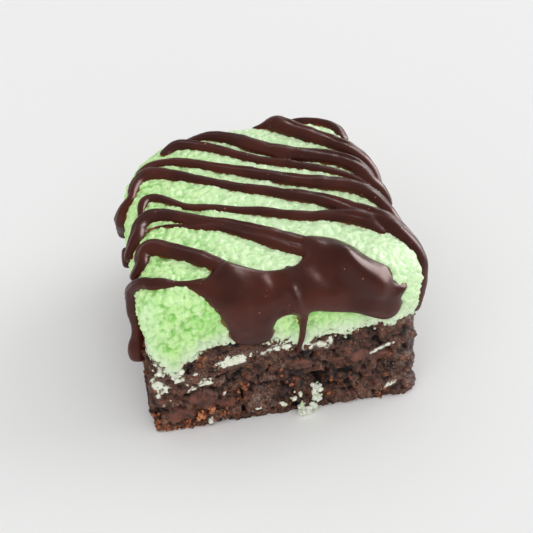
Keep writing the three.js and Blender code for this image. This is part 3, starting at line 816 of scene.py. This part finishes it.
def flowed(bm):
    """The shape with its parts run together and smoothed, as a poured liquid sets."""
    mesh = bpy.data.meshes.new("pour")
    bm.to_mesh(mesh)
    bm.free()
    obj = bpy.data.objects.new("pour", mesh)
    bpy.context.scene.collection.objects.link(obj)
    joined = obj.modifiers.new("join", "REMESH")
    joined.mode = "VOXEL"
    joined.voxel_size = CHOCOLATE_VOXEL
    flow = obj.modifiers.new("flow", "SMOOTH")
    flow.iterations = CHOCOLATE_SMOOTHING
    flow.factor = 0.5
    result = bmesh.new()
    result.from_object(obj, bpy.context.evaluated_depsgraph_get())
    bpy.data.objects.remove(obj)
    bpy.data.meshes.remove(mesh)
    return result


def chocolate_shape():
    """All of the poured chocolate; film is how far it stands out from the skin of the square."""
    bm = bmesh.new()
    for route in STRANDS:
        add_strand(bm, route)
    add_pool(bm)
    bm = flowed(bm)
    give_values(bm, "film", outside(places_of(bm.verts)))
    return bm


def tree_of(verts):
    """The vertices in a tree that finds the one nearest to a place."""
    tree = KDTree(len(verts))
    for i, vert in enumerate(verts):
        tree.insert(vert.co, i)
    tree.balance()
    return tree


def scattered(spots, rng, small, large, flatness=0.75):
    """Grains with radii from small to large, each of 20 faces, sunk about half way into a surface."""
    template = bmesh.new()
    bmesh.ops.create_icosphere(template, subdivisions=1, radius=1)
    mesh = bpy.data.meshes.new("grain")
    template.to_mesh(mesh)
    template.free()
    bm = bmesh.new()
    places = []
    tints = []
    for place, normal in spots:
        bm.from_mesh(mesh)
        radius = small * (large / small) ** (rng.random() ** 1.6)
        spin = Matrix.Rotation(rng.uniform(0, math.tau), 3, "Z")
        turn = normal.to_track_quat("Z", "Y").to_matrix() @ spin
        sizes = Matrix.Diagonal((rng.uniform(0.8, 1.35), rng.uniform(0.75, 1.1), flatness))
        shape = turn @ sizes * radius
        middle = place + normal * radius * rng.uniform(-0.1, 0.25)
        for corner in mesh.vertices:
            bent = corner.co + 0.45 * noise.noise_vector(corner.co * 1.4 + place)
            corner_at = middle + shape @ bent
            places.append((corner_at.x, corner_at.y, max(corner_at.z, 0.02)))
            tints.append(radius)
    move_to(bm.verts, places)
    give_values(bm, "tint", (np.array(tints) - small) / (large - small))
    bpy.data.meshes.remove(mesh)
    return bm


def clusters(rows, rng, surface):
    """Places of loose crumbs against the front face and on the table by it."""
    spots = []
    for x, height, spread, count, far in rows:
        for _ in range(count):
            at = max(rng.gauss(height, 0.5 * spread), 0.25)
            out = far + rng.uniform(-0.3, 0.3)
            side = min(max(rng.gauss(x, 0.5 * spread), -CRUMB_EDGE), CRUMB_EDGE)
            near = surface.find((side, float(front_wall(at)), at))[0]
            spots.append((Vector((near.x, near.y - out, at)), Vector((0, -1, 0))))
    return spots


def spots_on(bm, count, rng, wanted):
    """Random middles of faces with their normals; wanted says how likely one is to be kept."""
    faces = sorted(bm.faces, key=lambda face: face.calc_center_median()[:])
    areas = np.cumsum([face.calc_area() for face in faces])
    spots = []
    while len(spots) < count:
        face = faces[int(np.searchsorted(areas, rng.random() * areas[-1]))]
        place, normal = face.calc_center_median(), face.normal.copy()
        if rng.random() < wanted(place, normal):
            spots.append((place, normal))
    return spots


def cream_shape(crumb_top):
    """Cream dragged over the brownie's front face: thin, with crumbs standing through it."""
    bm = bmesh.new()
    columns = int(CREAM_WIDTH / CREAM_STEP)
    rows = int((CREAM_TOP - CREAM_FOOT) / CREAM_STEP)
    bmesh.ops.create_grid(bm, x_segments=columns, y_segments=rows, size=0.5)
    flat = places_of(bm.verts)
    x, z = flat[:, 0] * CREAM_WIDTH, mix(CREAM_FOOT, CREAM_TOP, flat[:, 1] + 0.5)
    film = np.full(len(x), -2.0)
    for stroke in SMEARS:
        _, line = evenly(smooth_line(stroke), 0.4, 2)
        for sx, sz, broad in line:
            away = np.hypot(x - sx, z - sz) / (0.82 * broad)
            film = np.maximum(film, 0.5 - 0.5 * away ** 2)
    p = np.column_stack([x, front_wall(z), z])
    film = film - 0.02 + 0.5 * rough(p, 1.1, 5) + 0.35 * rough(p + 5, 4)
    surface = np.array([crumb_top.find(place)[0].y for place in p])
    floor = np.convolve(surface, np.ones(5) / 5, mode="same")
    p[:, 1] = np.minimum(floor, -26.5) - 0.02 - CREAM_THICKNESS * film
    move_to(bm.verts, p)
    give_values(bm, "film", film)
    spare = [vert for vert, f in zip(bm.verts, film) if f < -0.25]
    bmesh.ops.delete(bm, geom=spare, context="VERTS")
    bmesh.ops.recalc_face_normals(bm, faces=bm.faces)
    if bm.faces[0].normal.y > 0:
        bmesh.ops.reverse_faces(bm, faces=bm.faces)
    bmesh.ops.solidify(bm, geom=bm.faces[:], thickness=0.8)
    return bm


def crumbly(place, normal):
    """How likely a loose crumb of brownie is: along the foot, and less so up the sides."""
    above = place.z - float(seam(np.array([place.x]), np.array([place.y]))[0])
    if above > -0.3 or place.z < 0.2 or abs(normal.z) > 0.9:
        return 0
    if place.z < 1.8:
        return 1
    return 0.1 if place.y < -26 else 0.5


def open_top(place, normal):
    return normal.z > 0.1 or place.y < -27


def crumb_shapes(mint, base, chocolate, crumb_top):
    """Loose crumbs of brownie, rusty crust, caramel and mint, and specks of cocoa."""
    rng = random.Random(DRAWS)
    poured = tree_of(chocolate.verts)

    def bare_mint(place, normal):
        return poured.find(place)[2] > 0.6 and (place.y < -26 or place.z > 31)

    crumbs = scattered(spots_on(base, BROWNIE_CRUMBS, rng, crumbly), rng, 0.14, 0.5)
    rusty = scattered(clusters(RUSTY_CRUMBS, rng, crumb_top), rng, 0.1, 0.42, 0.9)
    caramel = scattered(clusters(CARAMEL_BITS, rng, crumb_top), rng, 0.16, 0.5, 0.9)
    loose = scattered(clusters(MINT_CRUMBS, rng, crumb_top), rng, 0.22, 0.62, 0.9)
    spots = spots_on(chocolate, CHOCOLATE_SPECKS, rng, open_top)
    spots += spots_on(mint, MINT_SPECKS, rng, bare_mint)
    specks = scattered(spots, rng, 0.09, 0.2)
    return crumbs, rusty, caramel, loose, specks


def make_cake():
    chocolate = chocolate_shape()
    mint = mint_shape()
    base = base_shape()
    crumb_top = tree_of(base.verts)
    crumbs, rusty, caramel, loose, specks = crumb_shapes(mint, base, chocolate, crumb_top)
    cream = cream_shape(crumb_top)
    dark_crumb = crumb_material(tone(36, 22, 18), tone(116, 70, 48))
    rusty_crumb = crumb_material(tone(62, 36, 27), tone(160, 94, 58))
    caramel_crumb = crumb_material(tone(150, 84, 54), tone(206, 132, 88))
    cocoa = crumb_material(tone(120, 56, 34), tone(178, 94, 54))
    mint_piece = piece(mint, "mint_cream_layer", mint_material())
    base_piece = piece(base, "brownie_block", brownie_material())
    piece(chocolate, "poured_chocolate", chocolate_material())
    piece(crumbs, "brownie_crumbs", dark_crumb, smooth=False)
    piece(rusty, "rusty_crumbs", rusty_crumb, smooth=False)
    piece(caramel, "caramel_bits", caramel_crumb)
    piece(cream, "smeared_cream", cream_material())
    piece(loose, "loose_mint_crumbs", loose_mint_material())
    piece(specks, "cocoa_specks", cocoa)
    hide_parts("mint_layer")
    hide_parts("brownie_base")


def make_floor():
    bm = bmesh.new()
    bmesh.ops.create_grid(bm, x_segments=1, y_segments=1, size=TABLE_SIZE)
    mesh = bpy.data.meshes.new("table_top")
    bm.to_mesh(mesh)
    bm.free()
    floor = bpy.data.objects.new("table_top", mesh)
    bpy.context.scene.collection.objects.link(floor)
    s = Shader("pale_table")
    plain = {"Base Color": (0.83, 0.83, 0.835, 1), "Roughness": 0.8, "Specular IOR Level": 0.1}
    mesh.materials.append(s.finish(plain))


def aimed(obj, at, target):
    obj.location = at
    obj.rotation_euler = (Vector(target) - Vector(at)).to_track_quat("-Z", "Y").to_euler()
    bpy.context.scene.collection.objects.link(obj)
    return obj


def make_light(name, direction, strength, spread, lit=True, mirrored=True):
    """Light from far away, as wide as `spread` degrees of sky.

    It falls on matt surfaces where lit is true, and shows in glossy ones where mirrored is.
    """
    light = bpy.data.lights.new(name, "SUN")
    light.energy = strength
    light.angle = math.radians(spread)
    lamp = aimed(bpy.data.objects.new(name, light), direction, (0, 0, 0))
    lamp.visible_diffuse = lit
    lamp.visible_glossy = mirrored


def make_studio():
    make_light("window", (0.8, 0.15, 0.48), 0.7, 40)
    make_light("window_glow", (0.82, 0.15, 0.42), 7, 56, lit=False)
    make_light("back_glow", (0.5, 0.75, 0.36), 0.6, 22, lit=False)
    make_light("ceiling", (0, -0.1, 1), 1.2, 150, mirrored=False)
    make_light("front_fill", (-0.4, -1, 0.5), 1, 80, mirrored=False)
    world = bpy.data.worlds.new("studio")
    bpy.context.scene.world = world
    world.use_nodes = True
    sky = world.node_tree.nodes["Background"].inputs
    sky["Color"].default_value = (1, 0.99, 0.98, 1)
    sky["Strength"].default_value = 0.4
    bpy.context.scene.view_settings.view_transform = "Standard"


def make_camera():
    camera = bpy.data.cameras.new("camera")
    camera.sensor_width = 36
    camera.lens = CAMERA_LENS
    camera.clip_start = 0.01
    viewer = bpy.data.objects.new("camera", camera)
    bpy.context.scene.camera = aimed(viewer, Vector(CAMERA_AT) * MM, Vector(CAMERA_AIM) * MM)


make_cake()
make_floor()
make_studio()
make_camera()
